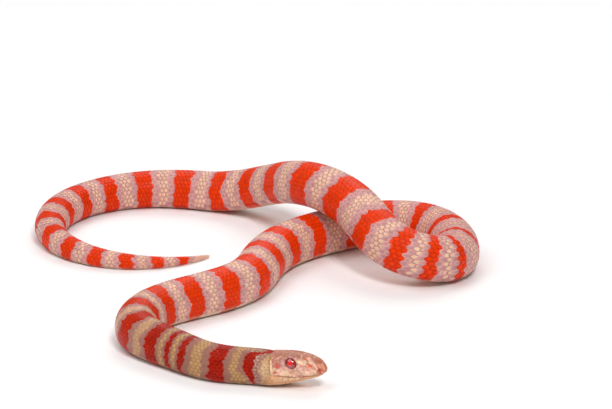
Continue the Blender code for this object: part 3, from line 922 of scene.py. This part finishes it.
def makeBellyPlates():
    draw = np.random.default_rng(bellyPlates["seed"])
    every = placeOf(np.arange(int(countGrid[-1])))
    s0 = every[(every > bellyPlates["first"]) & (every < vent + 0.4)]
    unit = wideUnit()
    wide = layPlates(unit, "belly_plates", (bellyPlates["first"] - 2, vent + 3), s0, np.full(len(s0), 0.5),
                     bellyPlates["halfRound"], draw.normal(0, 1, len(s0)), np.zeros(len(s0)), bellyPlates)
    bpy.data.objects.remove(unit, do_unlink=True)
    s0 = np.repeat(every[(every > vent + 0.9) & (every < tailTip - 1.2)], 2)
    side = np.where(np.arange(len(s0)) % 2, -1.0, 1.0)
    s0 = s0 + np.where(side < 0, 0.5, 0.0) * pitchAt(s0)
    shape = {**scales, "halfWidth": 1.0, "lift": bellyPlates["lift"], "taper": 0.1}
    unit = scaleUnit()
    pairs = layPlates(unit, "tail_plates", (vent, tailTip + 1), s0, side * bellyPlates["tailMiddle"],
                      bellyPlates["tailHalf"], draw.normal(0, 1, len(s0)), np.zeros(len(s0)), shape)
    bpy.data.objects.remove(unit, do_unlink=True)
    return [wide, pairs]


# The eyes: ruby, with the pupil glowing through
eyeLook = {
    "segments": 64,
    "rings": 40,
    "flat": 0.72,
    # from the middle of the pupil, 0, to the ball's widest line, 0.5
    "tints": [(0.0, (240, 0, 6)), (0.14, (226, 0, 6)), (0.20, (120, 0, 2)), (0.30, (156, 5, 4)),
              (0.40, (112, 3, 2)), (0.5, (66, 0, 0))],
    "shader": {"Roughness": 0.30, "Specular IOR Level": 0.15, "Coat Weight": 1.0, "Coat IOR": 2.0,
               "Coat Roughness": 0.02, "Subsurface Weight": 0.2, "Subsurface Scale": 0.0005},
}


def makeEyes():
    made = []
    for side, name in ((-1, "left"), (1, "right")):
        deselectAll()
        bpy.ops.mesh.primitive_uv_sphere_add(segments=eyeLook["segments"], ring_count=eyeLook["rings"],
                                             radius=1)
        ball = bpy.context.object
        ball.name = f"eyeball_{name}"
        where = np.array([eye["s"]]), np.array([side * eye["round"] / perimeterAt(eye["s"])])
        middle = onSkin(*where, -np.array([eye["deep"]]))[0]
        out = normed(readRings("outward", *where)[0])
        level = normed(np.cross((0, 0, 1), out))
        points = readPoints(ball)
        turned = points[:, :1] * level + points[:, 1:2] * np.cross(out, level)
        turned = turned + points[:, 2:] * np.where(points[:, 2:] > 0, eyeLook["flat"], 1.0) * out
        writePoints(ball, middle + turned * eye["radius"] * mm)
        writeColours(ball, "gaze", np.arccos(np.clip(points[:, 2], -1, 1)) / np.pi)
        ball.data.shade_smooth()
        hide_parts(f"eye_{name}")
        made.append(ball)
    return made


def linear(red, green, blue):  # from the colours as seen, 0 to 255
    seen = np.array([red, green, blue]) / 255
    value = np.where(seen <= 0.04045, seen / 12.92, ((seen + 0.055) / 1.055) ** 2.4)
    return (*[float(x) for x in value], 1.0)


class Nodes:  # a small helper for one material's tree
    def __init__(self, name):
        self.material = bpy.data.materials.new(name)
        self.material.use_nodes = True
        self.tree = self.material.node_tree
        self.shader = self.tree.nodes["Principled BSDF"]

    def add(self, kind, **settings):
        node = self.tree.nodes.new(kind)
        for key, value in settings.items():
            setattr(node, key, value)
        return node

    def link(self, source, target):
        self.tree.links.new(source, target)

    def channels(self, name):
        layer = self.add("ShaderNodeAttribute", attribute_name=name, attribute_type="GEOMETRY")
        split = self.add("ShaderNodeSeparateColor")
        self.link(layer.outputs["Color"], split.inputs["Color"])
        return [*split.outputs[:3], layer.outputs["Alpha"]]

    def fill(self, node, values):  # a socket is linked, a number is set on the input itself
        for name, value in values.items():
            if isinstance(value, bpy.types.NodeSocket):
                self.link(value, node.inputs[name])
            else:
                node.inputs[name].default_value = value

    def mix(self, factor, first, second):
        node = self.add("ShaderNodeMix", data_type="RGBA")
        self.fill(node, {0: factor, 6: first, 7: second})
        return node.outputs[2]

    def math(self, operation, first, second, clamp=False):
        node = self.add("ShaderNodeMath", operation=operation, use_clamp=clamp)
        self.fill(node, {0: first, 1: second})
        return node.outputs[0]

    def times(self, first, second, clamp=False):
        return self.math("MULTIPLY", first, second, clamp)

    def plus(self, first, second, clamp=False):
        return self.math("ADD", first, second, clamp)

    def less(self, first, second):
        return self.math("SUBTRACT", first, second)

    def noise(self, scale, detail=2.0, roughness=0.5):
        place = self.add("ShaderNodeTexCoord").outputs["Object"]
        node = self.add("ShaderNodeTexNoise")
        self.fill(node, {"Vector": place, "Scale": scale, "Detail": detail, "Roughness": roughness})
        return node.outputs["Fac"]

    def steps(self, value, *stops):
        node = self.add("ShaderNodeValToRGB")
        ramp = node.color_ramp
        while len(ramp.elements) < len(stops):
            ramp.elements.new(1.0)
        for element, (at, colour) in zip(ramp.elements, stops):
            element.position, element.color = at, colour
        self.link(value, node.inputs["Fac"])
        return node.outputs["Color"]


tints = {  # as seen, 0 to 255
    "red": (236, 60, 2),
    # the neck's red, lavender and cream are darker than the body's: partly their own colour, partly painted
    # shade
    "shadedNeckRed": (146, 18, 0),
    "redEdge": (196, 32, 4),
    "lavender": (198, 138, 138),
    "lavenderEdge": (222, 174, 168),
    "shadedNeckLavender": (158, 108, 94),
    "neckFleck": (220, 192, 178),
    "cream": (236, 194, 162),
    "shadedNeckCream": (194, 150, 104),
    "shadedNeckCreamEdge": (160, 114, 74),
    "belly": (236, 202, 178),
    "crown": (176, 112, 92),
    "crownFleck": (222, 168, 144),
    "plateEdge": (232, 188, 166),
    "headCream": (240, 204, 168),
    "rose": (210, 100, 92),
    "orange": (232, 92, 52),
    "face": (236, 170, 150),
    "facePale": (246, 210, 184),
    "faceDull": (212, 146, 138),
    "lilac": (208, 162, 166),
    "lip": (238, 212, 182),
    "jaw": (232, 172, 132),
    # mouth: painted shade, laid along the mouth groove and inside the nostril
    "mouth": (160, 66, 48),
}
skinLook = {
    "roughness": (0.32, 0.14),  # least, and how much the fine grain adds
    "bump": {"Strength": 0.25, "Distance": 0.00002},
    "shader": {"Specular IOR Level": 0.08, "Coat Weight": 0.05, "Coat Roughness": 0.12,
               "Subsurface Weight": 0.08, "Subsurface Radius": (1.0, 0.35, 0.2),
               "Subsurface Scale": 0.0005},
}


def paintSkin():
    n = Nodes("snake_skin")
    tint = {name: linear(*seen) for name, seen in tints.items()}
    red, cream, under, line = n.channels("ringMix")
    crown, headCream, rose, orange = n.channels("headMix")
    face, lilac, lip, jaw = n.channels("faceMix")
    rim, tone, pastShadedNeck, frost = n.channels("detail")
    mottle = n.noise(900.0, 3.0)
    fleck = n.steps(n.noise(2300.0, 4.0, 0.6), (0.46, (0, 0, 0, 1)), (0.60, (1, 1, 1, 1)))
    fine = n.noise(3600.0, 2.0)
    grain = n.noise(2600.0, 3.0, 0.6)

    def broken(share, crisp=1.5):  # a soft spot given a ragged, natural outline
        return n.plus(n.times(n.less(share, grain), crisp), 0.5, clamp=True)

    edge = n.times(rim, n.plus(0.45, mottle), clamp=True)
    speckle = n.times(fleck, n.times(edge, frost))
    # on the neck the colours are partly painted shade; they give way to the body's own further back
    shadedNeckLavender = n.mix(speckle, tint["shadedNeckLavender"], tint["neckFleck"])
    lavender = n.mix(pastShadedNeck, shadedNeckLavender, n.mix(edge, tint["lavender"], tint["lavenderEdge"]))
    spread = n.times(n.less(n.times(rim, 1.6), 0.15), pastShadedNeck, clamp=True)
    shadedNeckCream = n.mix(edge, tint["shadedNeckCream"], tint["shadedNeckCreamEdge"])
    creamy = n.mix(spread, n.mix(pastShadedNeck, shadedNeckCream, tint["cream"]), tint["lavender"])
    reddish = n.mix(n.times(edge, 0.7), n.mix(pastShadedNeck, tint["shadedNeckRed"], tint["red"]), tint["redEdge"])
    colour = n.mix(cream, lavender, creamy)
    colour = n.mix(red, colour, reddish)
    blush = n.times(under, n.less(0.95, n.times(red, 0.55)))
    colour = n.mix(blush, colour, tint["belly"])
    colour = n.mix(n.times(jaw, 0.8), colour, tint["jaw"])
    colour = n.mix(crown, colour, n.mix(n.times(fleck, 0.35), tint["crown"], tint["crownFleck"]))
    speckled = n.steps(n.noise(2700.0, 3.0, 0.55), (0.38, tint["faceDull"]), (0.48, tint["face"]),
                       (0.60, tint["facePale"]))
    colour = n.mix(broken(face), colour, speckled)
    for share, name in ((lilac, "lilac"), (headCream, "headCream")):
        colour = n.mix(broken(share), colour, tint[name])
    seam = n.times(rim, n.times(crown, n.plus(0.25, n.times(fleck, 0.5))))
    colour = n.mix(seam, colour, tint["plateEdge"])
    for share, name in ((orange, "orange"), (rose, "rose"), (lip, "lip")):
        colour = n.mix(broken(share), colour, tint[name])
    # painted shade in the mouth groove and the nostril
    colour = n.mix(line, colour, tint["mouth"])
    shade = n.plus(n.times(tone, 0.30), n.times(mottle, 0.30))
    bright = n.add("ShaderNodeHueSaturation")
    n.fill(bright, {"Value": n.plus(0.70, shade), "Color": colour})
    bump = n.add("ShaderNodeBump")
    n.fill(bump, {"Height": fine, **skinLook["bump"]})
    least, more = skinLook["roughness"]
    roughness = n.plus(least, n.times(fine, more))
    n.fill(n.shader, {"Base Color": bright.outputs["Color"], "Roughness": roughness,
                      "Normal": bump.outputs["Normal"], **skinLook["shader"]})
    return n.material


def paintEye():
    n = Nodes("ruby_eye")
    gaze = n.channels("gaze")[0]
    streaks = n.noise(5200.0, 3.0, 0.6)
    wobble = n.plus(gaze, n.times(n.less(streaks, 0.5), 0.05))
    colour = n.steps(wobble, *[(at, linear(*seen)) for at, seen in eyeLook["tints"]])
    n.fill(n.shader, {"Base Color": colour, **eyeLook["shader"]})
    return n.material


def paintFloor():
    n = Nodes("pale_floor")
    n.fill(n.shader, {"Base Color": (0.96, 0.96, 0.96, 1.0), "Roughness": 0.9})
    return n.material


# Build
outside = makeSkin()
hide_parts("head", "lower_jaw", "neck", *[f"body_{i}" for i in range(1, 11)], "tail")
print("milk snake: skin made,", len(outside.data.polygons), "faces")
coat = makeScales() + makeBellyPlates()
skinPaint, eyePaint = paintSkin(), paintEye()
for piece in [outside] + coat:
    piece.data.materials.append(skinPaint)
    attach(piece, "root")
for ball in makeEyes():
    ball.data.materials.append(eyePaint)
    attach(ball, "root")
print("milk snake: eyes and finishes set")

# Stage, light and camera
studio = {
    "elevation": 18.0, "distance": 700.0, "aim": (9.77, 49.55, 0.0), "lens": 209.59, "sensor": 36.0,
    "clip": (0.01, 20), "floor": 6.0, "sky": 0.26,
    "lights": [  # name, place, size, watts: all aimed at the snake, metres
        ("key", (-0.42, -0.20, 0.75), 0.70, 3.0),
        ("side", (0.16, -0.52, 0.62), 0.20, 3.0),
        ("back", (0.12, 0.60, 0.65), 0.60, 3.1),
    ],
}


def aimAt(obj, target):
    away = np.array(obj.location) - np.array(target)
    turn = math.atan2(away[0], -away[1])
    rise = math.atan2(math.hypot(away[0], away[1]), away[2])
    obj.rotation_euler = (rise, 0, turn)


def makeStage():
    deselectAll()
    bpy.ops.mesh.primitive_plane_add(size=studio["floor"], location=(0, 0, 0))
    floor = bpy.context.object
    floor.name = "pale_floor"
    floor.data.materials.append(paintFloor())
    for name, place, size, watts in studio["lights"]:
        bpy.ops.object.light_add(type="AREA", location=place)
        lamp = bpy.context.object
        lamp.name = f"{name}_light"
        lamp.data.size, lamp.data.energy = size, watts
        aimAt(lamp, (0, 0, 0))
    world = bpy.data.worlds.new("studio")
    world.use_nodes = True
    sky = world.node_tree.nodes["Background"]
    sky.inputs["Color"].default_value = (1, 1, 1, 1)
    sky.inputs["Strength"].default_value = studio["sky"]
    bpy.context.scene.world = world
    bpy.context.scene.view_settings.view_transform = "Standard"


def makeCamera():
    aim = np.array(studio["aim"]) * mm
    tilt = math.radians(studio["elevation"])
    place = aim + np.array([0, -math.cos(tilt), math.sin(tilt)]) * studio["distance"] * mm
    bpy.ops.object.camera_add(location=place)
    camera = bpy.context.object
    camera.data.lens, camera.data.sensor_width = studio["lens"], studio["sensor"]
    camera.data.clip_start, camera.data.clip_end = studio["clip"]
    aimAt(camera, aim)
    bpy.context.scene.camera = camera


makeStage()
makeCamera()
deselectAll()
print("milk snake: stage, light and camera set")
